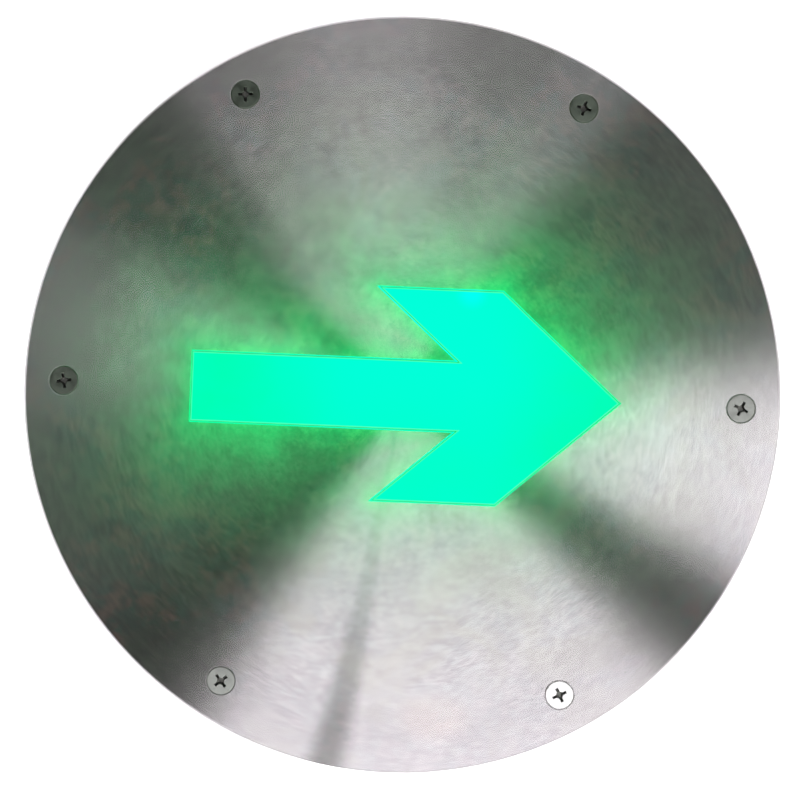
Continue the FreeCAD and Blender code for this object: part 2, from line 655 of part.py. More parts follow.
def gear_tray():
    """Folded steel tray on the housing's four low bosses, with its screws."""
    tray = new_body("gear_tray")
    fold = new_sketch(tray, "YZ_Plane")
    edge, inner, top = "tray_wide / 2", "tray_wide / 2 - tray_thick", "tray_level + tray_thick + tray_lip"
    half = [(edge, "tray_level"), (edge, top), (inner, top), (inner, TRAY_TOP)]
    draw_outline(fold, half + [("-(%s)" % y, z) for y, z in reversed(half)])
    add_pad(tray, fold, "tray_long", both_ways=True)
    holes = new_sketch(tray, offset=TRAY_TOP)
    corners = [(x + "tray_hole_x", y + "tray_hole_y") for x in ("", "-") for y in ("", "-")]
    for x, y in corners:
        draw_circle(holes, "m_three + 8 * thread_play", x, y)
    add_pocket(tray, holes, "tray_thick")
    node(tray, "gear_tray")
    screw = pan_screw("tray_screw", "m_three", "m_three_head", "6")
    level = "(%s + 0.4 * m_three_head)" % TRAY_TOP
    node(copies(screw, [(x, y, level) for x, y in corners], [15, 40, 65, 80]), "tray_screws")


def driver():
    """Driver and charger: a moulded case with a slotted lid, and its board with the larger components."""
    end, front, back = "case_long / 2", "case_mid_y - case_wide / 2", "case_mid_y + case_wide / 2"
    outline = rectangle("-" + end, end, front, back)
    case = slab("driver_case", [outline], TRAY_TOP, "case_high")
    room = new_sketch(case, offset="%s + case_high" % TRAY_TOP)
    draw_outline(room, rectangle("case_wall - " + end, end + " - case_wall",
                                 front + " + case_wall", back + " - case_wall"))
    add_pocket(case, room, "case_high - case_wall")
    posts = new_sketch(case, offset=TRAY_TOP)
    for x in (end + " - 5", "5 - " + end):
        for y in (back + " - 5", front + " + 5"):
            draw_circle(posts, "5", x, y)
    add_pad(case, posts, "driver_level - %s" % TRAY_TOP)
    notch = new_sketch(case, offset="%s + case_high" % TRAY_TOP)
    draw_outline(notch, rectangle("-%s - 1" % end, "case_wall + 1 - " + end,
                                  "case_mid_y - 12", "case_mid_y - 4"))
    add_pocket(case, notch, "6")
    node(case, "driver_case")
    slots = [rectangle("%d" % x, "%d + 2.5" % x, "case_mid_y - 8", "case_mid_y + 8")
             for x in range(-24, 26, 8)]
    node(slab("driver_lid", [outline] + slots, "%s + case_high" % TRAY_TOP, "lid_thick"), "driver_lid")
    board = block("case_long - 6", "case_wide - 6", "board_thick", "0", "case_mid_y", "driver_level")
    node(board, "driver_board")
    top = "(driver_level + board_thick)"
    core = block("16", "6", "12", "-12", "case_mid_y", top)
    winding = block("12", "12", "8", "-12", "case_mid_y", "%s + 2" % top)
    node(fuse(core, winding), "driver_transformer")
    cans = [cylinder("8", "12", x, "case_mid_y + %d" % y, top) for x, y in (("10", 6), ("10", -6), ("28", 0))]
    node(group(cans), "driver_capacitors")
    chips = [block("8", "5", "1.6", "%d" % x, "case_mid_y", top) for x in (-28, 20)]
    socket = block("6", "9", "lead_level + 1.5 - %s" % top, "socket_at + 3", "case_mid_y - 8", top)
    node(group(chips + [socket]), "driver_components")


def battery():
    """Two cells in an open holder, held down by a strap."""
    long, wide = "(cell_length / 2 + 4)", "(cell_dia + holder_wall + 0.5)"
    level = TRAY_TOP
    outline, inside = [
        rectangle("cell_mid_x - %s + %s" % (long, wall), "cell_mid_x + %s - %s" % (long, wall),
                  "holder_mid_y - %s + %s" % (wide, wall), "holder_mid_y + %s - %s" % (wide, wall))
        for wall in ("0", "holder_wall")
    ]
    shell = slab("battery_holder", [outline], level, "0.7 * cell_dia")
    room = new_sketch(shell, offset="%s + 0.7 * cell_dia" % level)
    draw_outline(room, inside)
    add_pocket(shell, room, "0.7 * cell_dia - holder_wall")
    node(shell, "battery_holder")
    cells, plates = [], []
    start = "(cell_mid_x - cell_length / 2)"
    mid_z = "(%s + holder_wall + cell_dia / 2)" % level
    for side in ("-", ""):
        mid_y = "(holder_mid_y %s (cell_dia / 2 + 0.2))" % (side or "+")
        can = turned(cylinder("cell_dia", "cell_length - 1.5"), (0, 1, 0), 90)
        tip = turned(cylinder("5", "1.5"), (0, 1, 0), 90)
        place(can, start, mid_y, mid_z)
        place(tip, "%s + cell_length - 1.5" % start, mid_y, mid_z)
        cells.append(fuse(can, tip))
        for x in ("%s - 1" % start, "%s + cell_length + 1" % start):
            plates.append(block("0.6", "10", "10", x, mid_y, "%s + holder_wall" % level))
    node(group(cells), "battery_cells")
    node(group(plates), "battery_contacts")
    outer, thick = "(2 * cell_dia + 2 * holder_wall + 4)", "0.8"
    top = "(%s + holder_wall + cell_dia)" % level
    band = [block("10", outer, thick, "cell_mid_x", "holder_mid_y", top)]
    for side in ("+", "-"):
        leg_y = "holder_mid_y %s (%s / 2 - %s / 2)" % (side, outer, thick)
        band.append(block("10", thick, "%s - %s" % (top, level), "cell_mid_x", leg_y, level))
    node(fuse(*band), "battery_strap")


def terminals():
    """Three-pole terminal block for the supply cable, with its clamping screws."""
    shell = slab("terminal_block", [rectangle(
        "block_mid_x - block_long / 2", "block_mid_x + block_long / 2",
        "block_mid_y - block_wide / 2", "block_mid_y + block_wide / 2")], TRAY_TOP, "block_high")
    wells = new_sketch(shell, offset="%s + block_high" % TRAY_TOP)
    ports = new_sketch(shell, "XZ_Plane", "block_wide / 2 - block_mid_y")
    poles = ["block_mid_x + %d * pole_pitch" % i for i in (-1, 0, 1)]
    for x in poles:
        draw_circle(wells, "5", x, "block_mid_y")
        draw_circle(ports, "4.5", x, "%s + 5" % TRAY_TOP)
    add_pocket(shell, wells, "5")
    add_pocket(shell, ports, "6")
    node(shell, "terminal_block")
    floor = "(%s + block_high - 5)" % TRAY_TOP
    screws = [cut(cylinder("4.6", "3", x, "block_mid_y", floor),
                  block("5", "0.9", "1.2", x, "block_mid_y", "%s + 2" % floor)) for x in poles]
    node(group(screws), "terminal_screws")


# ---------------------------------------------------------------- light engine

def carrier():
    """Aluminium plate on the housing's columns, which spreads the heat of the lamp board."""
    corners = [(x, y) for x, y, z in on_circle("2 * column_at", 4, "0", 45)]
    circles = [("carrier_dia", "0", "0"), ("switch_barrel + 4 * thread_play", "0", "switch_y"),
               ("grommet_dia - 2", "grommet_x", "grommet_y")]
    circles += [("m_three + 8 * thread_play", x, y) for x, y in corners + board_screw_spots()]
    node(slab("carrier_plate", [], CARRIER_LOW, "carrier_thick", circles), "carrier_plate")
    screw = pan_screw("carrier_screw", "m_three", "m_three_head", "carrier_thick + 7")
    level = "(carrier_top + 0.4 * m_three_head)"
    node(copies(screw, [(x, y, level) for x, y in corners], [10, 55, 30, 75]), "carrier_screws")


def board_screw_spots():
    spots = [("25 - board_tail", "(shaft_half + 7)"), ("5", "(arrow_half + 6.8)"), ("arrow_tip - 5.7", "15")]
    return spots + [(x, "-" + y) for x, y in spots]


def inside_arrow(x, y, margin):
    """Whether a point lies in the arrow, at least a margin from its edge."""
    corners = [FreeCAD.Vector(value(a), value(b), 0) for a, b in arrow("(-%s)" % margin)]
    face = Part.Face(Part.makePolygon(corners + corners[:1]))
    return face.isInside(FreeCAD.Vector(x, y, 0), 1e-6, True)


def light_engine():
    """Lamp board with its emitters, plug and screws, and the shroud that keeps the light to the arrow."""
    outline = stepped("board_tail", "board_neck", "board_neck_half", "board_half", "board_shoulder",
                      "board_nose", "board_nose_half")
    spots = board_screw_spots()
    holes = [("m_three + 8 * thread_play", x, y) for x, y in spots]
    node(slab("led_board", [outline], "carrier_top", "board_thick", holes), "led_board")
    screw = pan_screw("board_screw", "m_three", "m_three_head", "board_thick + carrier_thick + 1")
    level = "(%s + 0.4 * m_three_head)" % BOARD_TOP
    node(copies(screw, [(x, y, level) for x, y in spots], [5, 25, 45, 65, 85, 15]), "board_screws")

    packages, domes = [], []
    pitch = value("led_pitch")
    for column in range(-7, 8):
        for line in range(-4, 4):
            x, y = column * pitch + 1, (line + 0.5) * pitch
            if inside_arrow(x, y, 3.2):
                where = ("%d * led_pitch + 1" % column, "%s * led_pitch" % (line + 0.5))
                packages.append(block("led_side", "led_side", "led_thick", *where, BOARD_TOP))
                domes.append(cylinder("led_lens", "0.3", *where, "%s + led_thick" % BOARD_TOP))
    node(group(packages), "led_packages")
    node(group(domes), "led_phosphors")
    walls = [arrow("(shroud_inset + shroud_wall)", True), arrow("shroud_inset", True)]
    high = "%s - shroud_play - %s" % (DIFFUSER_LOW, BOARD_TOP)
    node(slab("light_shroud", walls, BOARD_TOP, high), "light_shroud")
    outline = rectangle("plug_at", "plug_at + 5.5", "grommet_y - 4", "grommet_y + 4")
    node(slab("led_plug", [outline], BOARD_TOP, "5"), "led_plug")


# ---------------------------------------------------------------- test switch

def helix_spring(length, mean, wire, turns):
    """A coil spring as a wire swept along a helix, whose lowest coil is centred on the origin's level."""
    spine = Part.makeHelix((length - wire) / turns, length - wire, mean / 2)
    section = Part.Wire(Part.makeCircle(wire / 2, FreeCAD.Vector(mean / 2, 0, 0), FreeCAD.Vector(0, 1, 0)))
    return Part.Wire(spine.Edges).makePipeShell([section], True, True)


def test_switch():
    """Momentary push button on the carrier plate: body, nut, sprung plunger and solder tags."""
    flange_low = "(%s - 4)" % CARRIER_LOW
    floor = "(switch_low + 2)"
    foot_high = "(foot_low + foot_thick + 0.1)"
    bore, barrel, flange = "plunger_dia / 2 + plunger_play", "switch_barrel / 2", "switch_flange / 2"
    body = spun("test_switch_body", [
        ("0", "switch_low"), ("switch_body / 2", "switch_low"), ("switch_body / 2", flange_low),
        (flange, flange_low), (flange, CARRIER_LOW), (barrel, CARRIER_LOW), (barrel, "switch_rim - 0.5"),
        (barrel + " - 0.5", "switch_rim"), (bore, "switch_rim"), (bore, foot_high),
        ("chamber_dia / 2", foot_high), ("chamber_dia / 2", floor), ("0", floor),
    ])
    button = spun("test_button", [
        ("0", "foot_low"), ("plunger_foot / 2", "foot_low"), ("plunger_foot / 2", "foot_low + foot_thick"),
        ("plunger_dia / 2", "foot_low + foot_thick"), ("plunger_dia / 2", "button_top - 0.6"),
        ("plunger_dia / 2 - 0.6", "button_top"), ("0", "button_top"),
    ])
    nut = hex_nut("test_switch_nut", "switch_flange - 1", "2.5", "switch_barrel + 2 * thread_play")
    for piece in (body, button):
        node(place(piece, "0", "switch_y"), piece.Name)
    node(place(nut, "0", "switch_y", "carrier_top + 2.5"), "test_switch_nut")
    coil = doc.addObject("Part::Feature", "test_spring")
    coil.Shape = helix_spring(value("foot_low - %s" % floor), value("spring_dia"), value("spring_wire"),
                              value("spring_turns"))
    node(place(coil, "0", "switch_y", "%s + spring_wire / 2" % floor), "test_spring")
    tags = [block("0.8", "3", "5", x, "switch_y", "switch_low - 5") for x in ("-3", "3")]
    node(group(tags), "test_switch_tags")


# ---------------------------------------------------------------- internal leads

def rounded_route(corners):
    """A path of straight runs joined by arcs that touch them, each as large as its two runs allow."""
    edges, start = [], corners[0]
    for before, corner, after in zip(corners, corners[1:], corners[2:]):
        back, ahead = before - corner, after - corner
        shorter = min(back.Length, ahead.Length)
        reach = 0.45 * shorter
        back.normalize()
        ahead.normalize()
        first, last = corner + back * reach, corner + ahead * reach
        half_turn = (math.pi - back.getAngle(ahead)) / 2
        radius = reach / math.tan(half_turn)
        inward = (back + ahead).normalize()
        middle = corner + inward * (radius / math.cos(half_turn) - radius)
        edges += [Part.LineSegment(start, first).toShape(), Part.Arc(first, middle, last).toShape()]
        start = last
    edges.append(Part.LineSegment(start, corners[-1]).toShape())
    return Part.Wire(edges)


def lead(name, shift):
    """One insulated wire from the driver's socket, through the grommet, to the plug on the lamp board."""
    x, y, level = value("grommet_x"), value("grommet_y") - shift, value("lead_level")
    side, mid = value("-case_long / 2 - 8") - shift, value("case_mid_y - 8") + shift
    plug_level = value("%s + 2.5" % BOARD_TOP)
    corners = [FreeCAD.Vector(*p) for p in (
        (value("socket_at"), mid, level), (side, mid, level), (side, y, level + 3), (x, y, level + 3),
        (x, y, plug_level), (value("plug_at"), y, plug_level),
    )]
    path = rounded_route(corners)
    radius = value("lead_dia") / 2
    section = Part.Wire(Part.makeCircle(radius, corners[0], corners[1] - corners[0]))
    made = doc.addObject("Part::Feature", name)
    made.Shape = path.makePipeShell([section], True, False)
    expected = math.pi * radius ** 2 * path.Length
    if abs(made.Shape.Volume / expected - 1) > 0.01:
        raise RuntimeError("%s does not fill its route" % name)
    node(made, name)


def leads():
    """The two leads, and the grommet that they pass through."""
    half = value("lead_pitch") / 2
    lead("lead_red", half)
    lead("lead_black", -half)
    bore, neck, flange = "grommet_dia / 2 - 2", "grommet_dia / 2 - 1", "grommet_dia / 2 + 1"
    sleeve = spun("lead_grommet", [
        (bore, "-1"), (flange, "-1"), (flange, "0"), (neck, "0"), (neck, "carrier_thick"),
        (flange, "carrier_thick"), (flange, "carrier_thick + 1"), (bore, "carrier_thick + 1"),
    ])
    node(place(sleeve, "grommet_x", "grommet_y", CARRIER_LOW), "lead_grommet")


# ---------------------------------------------------------------- build, check and write

def main():
    face()
    node(housing(), "housing")
    cable_gland()
    vent_plug()
    earth_terminal()
    gear_tray()
    driver()
    battery()
    terminals()
    carrier()
    light_engine()
    test_switch()
    leads()
    doc.recompute()
    failed = [o.Name for o in doc.Objects if "Invalid" in o.State or "Error" in o.State]
    if failed:
        raise RuntimeError("these features failed: %s" % ", ".join(failed))
    os.makedirs("parts", exist_ok=True)
    for part in nodes:
        shape = part.Shape
        if shape.isNull() or not shape.isValid() or not shape.Solids:
            raise RuntimeError("%s has no valid solid" % part.Label)
        shape.exportStep("parts/%s.step" % part.Label)
        print("%-20s %3d solids %10.1f mm3" % (part.Label, len(shape.Solids), shape.Volume))


main()
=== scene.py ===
"""Looks for the recessed LED direction marker: materials, the lit edge of its lens, studio light and camera."""
import math

import bmesh
import bpy
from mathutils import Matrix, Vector


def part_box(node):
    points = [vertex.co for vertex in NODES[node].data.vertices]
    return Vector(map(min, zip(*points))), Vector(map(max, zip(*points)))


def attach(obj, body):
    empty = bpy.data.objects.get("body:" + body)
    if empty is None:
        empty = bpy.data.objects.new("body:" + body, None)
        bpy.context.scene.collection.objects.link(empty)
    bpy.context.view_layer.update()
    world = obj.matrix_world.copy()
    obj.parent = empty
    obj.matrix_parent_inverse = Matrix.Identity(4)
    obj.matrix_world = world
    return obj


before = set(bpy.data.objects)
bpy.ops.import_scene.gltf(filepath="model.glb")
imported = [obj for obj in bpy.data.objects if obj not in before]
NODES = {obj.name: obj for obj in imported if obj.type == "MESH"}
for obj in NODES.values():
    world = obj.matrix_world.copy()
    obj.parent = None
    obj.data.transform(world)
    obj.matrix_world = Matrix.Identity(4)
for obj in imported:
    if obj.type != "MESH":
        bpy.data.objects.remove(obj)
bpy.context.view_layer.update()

MM = 0.001
PLATE_LOW, PLATE_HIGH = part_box("face_plate")
PLATE_RADIUS = (PLATE_HIGH.x - PLATE_LOW.x) / 2
SKEW = math.radians(2.4)
# Colour of the lens's green glow, painted as light on the steel around it.
LENS_GLOW_COLOUR = (0.0, 1.0, 0.21)


# ---------------------------------------------------------------- node building

class Look:
    """A procedural material under construction. Its methods add nodes and return their output sockets."""

    def __init__(self, name):
        self.material = bpy.data.materials.new(name)
        self.material.use_nodes = True
        self.tree = self.material.node_tree
        self.shader = self.tree.nodes["Principled BSDF"]
        self.place = self.add("ShaderNodeTexCoord").outputs["Object"]

    def add(self, kind, **settings):
        node = self.tree.nodes.new(kind)
        for name, setting in settings.items():
            setattr(node, name, setting)
        return node

    def put(self, socket, given):
        """Links a socket, or sets its value."""
        if isinstance(given, bpy.types.NodeSocket):
            self.tree.links.new(given, socket)
        elif isinstance(given, tuple) and len(given) == 3 and socket.type == "RGBA":
            socket.default_value = (*given, 1)
        else:
            socket.default_value = given

    def set(self, **inputs):
        """Sets or links inputs of the main shader, with underscores for the spaces in their names."""
        for name, given in inputs.items():
            self.put(self.shader.inputs[name.replace("_", " ")], given)
        return self

    def math(self, operation, *values, clamp=False):
        node = self.add("ShaderNodeMath", operation=operation, use_clamp=clamp)
        for socket, given in zip(node.inputs, values):
            self.put(socket, given)
        return node.outputs[0]

    def vector(self, operation, *values):
        node = self.add("ShaderNodeVectorMath", operation=operation)
        for socket, given in zip(node.inputs, values):
            self.put(socket, given)
        return node.outputs["Value"] if operation in ("LENGTH", "DOT_PRODUCT") else node.outputs["Vector"]

    def noise(self, where, scale, detail=2.0, rough=0.5, warp=0.0):
        node = self.add("ShaderNodeTexNoise")
        self.put(node.inputs["Vector"], where)
        self.put(node.inputs["Scale"], scale)
        self.put(node.inputs["Detail"], detail)
        self.put(node.inputs["Roughness"], rough)
        self.put(node.inputs["Distortion"], warp)
        return node.outputs[0]

    def cells(self, where, scale, feature="F1"):
        node = self.add("ShaderNodeTexVoronoi", feature=feature)
        self.put(node.inputs["Vector"], where)
        self.put(node.inputs["Scale"], scale)
        return node.outputs["Distance"]

    def span(self, given, low, high, to_low=0.0, to_high=1.0):
        """Maps a range smoothly onto another and holds it at both ends."""
        node = self.add("ShaderNodeMapRange", interpolation_type="SMOOTHSTEP")
        for socket, number in zip(node.inputs, (given, low, high, to_low, to_high)):
            self.put(socket, number)
        return node.outputs["Result"]

    def blend(self, factor, first, second, kind="MIX"):
        node = self.add("ShaderNodeMix", data_type="RGBA", blend_type=kind)
        self.put(node.inputs[0], factor)
        self.put(node.inputs[6], first)
        self.put(node.inputs[7], second)
        return node.outputs[2]

    def bump(self, height, strength, distance, under=None):
        node = self.add("ShaderNodeBump")
        self.put(node.inputs["Height"], height)
        self.put(node.inputs["Strength"], strength)
        self.put(node.inputs["Distance"], distance)
        if under is not None:
            self.put(node.inputs["Normal"], under)
        return node.outputs["Normal"]

    def soft_edge(self, radius):
        """A normal that rounds sharp edges over a small radius."""
        node = self.add("ShaderNodeBevel", samples=4)
        node.inputs["Radius"].default_value = radius
        return node.outputs["Normal"]

    def combine(self, x, y, z):
        node = self.add("ShaderNodeCombineXYZ")
        for socket, given in zip(node.inputs, (x, y, z)):
            self.put(socket, given)
        return node.outputs[0]

    def split(self, where):
        node = self.add("ShaderNodeSeparateXYZ")
        self.put(node.inputs[0], where)
        return node.outputs["X"], node.outputs["Y"], node.outputs["Z"]

    def radial(self):
        """Radius and unit direction of a point about the plate's axis."""
        flat = self.vector("MULTIPLY", self.place, (1, 1, 0))
        radius = self.vector("LENGTH", flat)
        return radius, self.vector("NORMALIZE", flat)

    def ring_grain(self, radius, direction, pitch, runs):
        """Streaks along circles: pitch is their spacing in metres, and more runs make them shorter."""
        x, y, z = self.split(direction)
        across = self.math("DIVIDE", radius, pitch)
        where = self.combine(across, self.math("MULTIPLY", x, runs), self.math("MULTIPLY", y, runs))
        return self.noise(where, 1.0, detail=1.0)

    def distance_to(self, where, corners):
        """Distance in plan from a point to a chain of straight edges."""
        nearest = None
        for start, end in zip(corners, corners[1:]):
            run = end - start
            out = self.vector("SUBTRACT", where, tuple(start))
            along = self.vector("DOT_PRODUCT", out, tuple(run))
            along = self.math("DIVIDE", along, run.length_squared, clamp=True)
            foot = self.vector("MULTIPLY", tuple(run), self.combine(along, along, along))
            gap = self.vector("LENGTH", self.vector("SUBTRACT", out, foot))
            nearest = gap if nearest is None else self.math("MINIMUM", nearest, gap)
        return nearest


def use(look, *nodes):
    for name in nodes:
        slots = NODES[name].data.materials
        slots.clear()
        slots.append(look.material)


# ---------------------------------------------------------------- face

def from_arrow(look):
    """Distance on the plate from the lens's outline, folded over the line through its point."""
    half = [p for p in arrow_corners(0) if p.y > -0.1 * MM]
    tip = half.index(max(half, key=lambda p: p.x))
    chain = half[tip:] + half[:tip]
    chain = [Vector((p.x, p.y, 0)) for p in chain + [Vector((chain[-1].x, 0, 0))]]
    x, y, z = look.split(look.place)
    return look.distance_to(look.combine(x, look.math("ABSOLUTE", y), 0.0), chain)


def fade(look, away, reach, strength):
    """A strength that falls off with distance."""
    return look.math("MULTIPLY", look.math("EXPONENT", look.math("DIVIDE", away, -reach)), strength)


def painted_dark_streaks(look, radius):
    """Dark streaks painted outwards on the plate as painted shade, where its reflection is dark: a narrow one
    below the arrow and a faint broad one above it.
    """
    narrow_at, broad_at = math.radians(-97.9), math.radians(134.5)
    bend_at_rim = -0.030
    x, y, z = look.split(look.place)
    bearing = look.math("ARCTAN2", y, x)
    outwards = look.math("POWER", look.math("DIVIDE", radius, PLATE_RADIUS), 3.0)
    bend = look.math("MULTIPLY", outwards, bend_at_rim)
    off_narrow = look.math("SUBTRACT", look.math("SUBTRACT", bearing, narrow_at), bend)
    narrow = look.span(look.math("ABSOLUTE", off_narrow), 0.008, 0.080, 1.0, 0.0)
    narrow = look.math("MULTIPLY", narrow, look.span(radius, 0.030, PLATE_RADIUS, 0.12, 0.58))
    off_broad = look.math("ABSOLUTE", look.math("SUBTRACT", bearing, broad_at))
    broad = look.span(off_broad, 0.04, 0.17, 0.42, 0.0)
    return look.math("MAXIMUM", narrow, look.math("MULTIPLY", broad, look.span(radius, 0.040, 0.075)))


def plate_look():
    """Steel brushed in circles, with clouds, specks and a smear, dark streaks painted as shade where its
    reflection is dark, and a green tint and green glow painted round the lens as light.
    """
    look = Look("circular_brushed_steel")
    radius, direction = look.radial()
    fine = look.ring_grain(radius, direction, 0.0008, 30.0)
    coarse = look.ring_grain(radius, direction, 0.0024, 14.0)
    clouds = look.noise(look.place, 75.0, detail=4.0, rough=0.6)
    tint = look.noise(look.place, 42.0, detail=4.0, rough=0.6, warp=0.6)
    patches = look.noise(look.place, 140.0, detail=4.0, rough=0.6)
    grain = look.math("ADD", look.math("MULTIPLY", fine, 0.6), look.math("MULTIPLY", coarse, 0.4))

    colour = look.blend(look.span(grain, 0.3, 0.7), (0.555, 0.52, 0.555), (0.635, 0.60, 0.64))
    colour = look.blend(look.span(clouds, 0.35, 0.65, 0.0, 0.35), colour, (0.67, 0.635, 0.67))
    colour = look.blend(look.span(tint, 0.42, 0.62, 0.0, 0.4), colour, (0.60, 0.545, 0.52))
    # Darker towards the rim.
    colour = look.blend(look.span(radius, 0.078, 0.100, 0.0, 0.45), colour, (0.43, 0.40, 0.43))
    specks = look.span(look.cells(look.place, 230.0), 0.02, 0.07, 0.4, 0.0)
    colour = look.blend(specks, colour, (0.16, 0.15, 0.14))
    smear_centre, smear_wide, smear_high = (0.013, -0.0935, PLATE_HIGH.z), 0.011, 0.007
    smear_at = look.vector("SUBTRACT", look.place, smear_centre)
    smear = look.vector("LENGTH", look.vector("MULTIPLY", smear_at, (1 / smear_wide, 1 / smear_high, 0.0)))
    smear = look.span(look.math("ADD", smear, look.math("MULTIPLY", patches, 0.8)), 0.9, 1.7, 0.35, 0.0)
    colour = look.blend(smear, colour, (0.42, 0.35, 0.33))
    # Painted shade: dark streaks where the steel's reflection is dark.
    colour = look.blend(painted_dark_streaks(look, radius), colour, (0.04, 0.045, 0.04))
    x, y, z = look.split(look.place)
    bright_side = look.math("ADD", look.math("MULTIPLY", x, 0.45), look.math("MULTIPLY", y, -0.9))
    away = from_arrow(look)
    # Painted light: a green tint near the lens, where its light falls on the steel, weaker on the bright side.
    tarnish_and_green_light = look.math("MULTIPLY", fade(look, away, 0.009, 0.8), look.span(bright_side, -0.01, 0.05, 1.0, 0.22))
    colour = look.blend(tarnish_and_green_light, colour, (0.06, 0.30, 0.17))

    rough = look.math("ADD", 0.195, look.math("MULTIPLY", grain, 0.02))
    rough = look.math("ADD", rough, look.math("MULTIPLY", clouds, 0.015))
    rough = look.math("ADD", rough, look.math("MULTIPLY", smear, 0.1))
    tangent = look.add("ShaderNodeTangent", direction_type="RADIAL", axis="Z").outputs[0]
    look.set(Base_Color=colour, Roughness=rough, Normal=look.bump(coarse, 0.1, 0.00001), Tangent=tangent)
    look.set(Metallic=1.0, Anisotropic=0.95, Anisotropic_Rotation=0.25)

    # Painted light: the lens's green glow drawn as light given off by the steel. It is strongest near the lens,
    # weaker on the bright side and to the left, and uneven.
    painted_lens_glow = look.math("ADD", fade(look, away, 0.002, 0.12), fade(look, away, 0.016, 0.56))
    painted_lens_glow = look.math("MULTIPLY", painted_lens_glow, look.span(bright_side, -0.01, 0.05, 1.0, 0.5))
    painted_lens_glow = look.math("MULTIPLY", painted_lens_glow, look.span(x, -0.075, -0.04, 0.7, 1.0))
    uneven = look.math("ADD", look.math("MULTIPLY", clouds, 0.5), look.math("MULTIPLY", patches, 0.3))
    uneven = look.math("ADD", uneven, look.math("MULTIPLY", grain, 0.2))
    painted_lens_glow = look.math("MULTIPLY", painted_lens_glow, look.span(uneven, 0.33, 0.67, 0.68, 1.28))
    # Painted light: a faint olive glow given off by the steel along its grain.
    bloom = look.blend(look.span(patches, 0.4, 0.6), (0.002, 0.016, 0.006), (0.028, 0.014, 0.006))
    bloom = look.blend(look.span(tint, 0.42, 0.58), bloom, (0.010, 0.018, 0.008))
    bloom = look.blend(look.span(grain, 0.25, 0.75, 0.3, 1.0), (0.0, 0.0, 0.0), bloom)
    glow = look.blend(painted_lens_glow, (0.0, 0.0, 0.0), LENS_GLOW_COLOUR)
    return look.set(Emission_Color=look.blend(1.0, bloom, glow, "ADD"), Emission_Strength=1.0)


def screw_look():
    """Turned steel with painted light and shade, bright on the lit side of the plate and dark on the other, with
    patches of tarnish.
    """
    look = Look("screw_steel")
    fine = look.noise(look.place, 1800.0, detail=3.0)
    tarnish_and_green_light = look.noise(look.place, 420.0, detail=4.0, rough=0.65)
    x, y, z = look.split(look.place)
    # Painted light and shade: screws on the plate's lit side are bright, the others dark.
    toward_lit_side = look.math("ADD", look.math("MULTIPLY", x, 0.5), look.math("MULTIPLY", y, -0.87))
    toward_lit_side = look.math("DIVIDE", toward_lit_side, PLATE_RADIUS)
    wear_and_painted_light = look.blend(look.span(toward_lit_side, -0.5, 0.1), (0.15, 0.18, 0.145), (0.36, 0.37, 0.35))
    wear_and_painted_light = look.blend(look.span(toward_lit_side, 0.5, 0.85), wear_and_painted_light, (0.88, 0.87, 0.87))
    stained = look.blend(0.55, wear_and_painted_light, (0.10, 0.11, 0.09))
    colour = look.blend(look.span(tarnish_and_green_light, 0.45, 0.75, 0.0, 0.5), wear_and_painted_light, stained)
    # Painted shade: darker down in the cross recess.
    recess_low, recess_high = PLATE_HIGH.z - 0.0016, PLATE_HIGH.z - 0.0003
    colour = look.blend(look.span(z, recess_low, recess_high), (0.14, 0.14, 0.13), colour)
    look.set(Base_Color=colour, Metallic=1.0, Roughness=look.span(tarnish_and_green_light, 0.3, 0.8, 0.28, 0.45),
             Normal=look.bump(fine, 0.15, 0.00004, look.soft_edge(0.00016)))
    return look


def lens_look():
    """Green acrylic lit from behind: an even glow, a little yellower towards the point and the tail."""
    look = Look("lit_green_acrylic")
    x, y, z = look.split(look.place)
    uneven = look.noise(look.place, 60.0, detail=3.0)
    towards_ends = look.span(look.math("ABSOLUTE", look.math("SUBTRACT", x, 0.004)), 0.015, 0.062)
    low_side = look.span(y, 0.012, -0.03, 0.0, 0.5)
    yellow = look.math("ADD", towards_ends, low_side)
    yellow = look.math("MULTIPLY", yellow, look.span(uneven, 0.2, 0.8, 0.55, 0.85))
    glow = look.blend(yellow, (0.0, 1.0, 0.66), (0.0, 1.0, 0.38))
    spot_centre = (0.019, 0.0305, 0.0)
    spot = look.vector("LENGTH", look.vector("SUBTRACT", look.combine(x, y, 0.0), spot_centre))
    glow = look.blend(look.span(spot, 0.001, 0.006, 0.6, 0.0), glow, (0.0, 1.0, 1.0))
    look.set(Base_Color=look.blend(uneven, (0.0, 0.09, 0.04), (0.0, 0.12, 0.05)), Metallic=0.0, IOR=1.49)
    look.set(Roughness=look.span(uneven, 0.2, 0.8, 0.08, 0.13), Normal=look.bump(uneven, 0.05, 0.0002))
    return look.set(Emission_Color=glow, Emission_Strength=1.0)


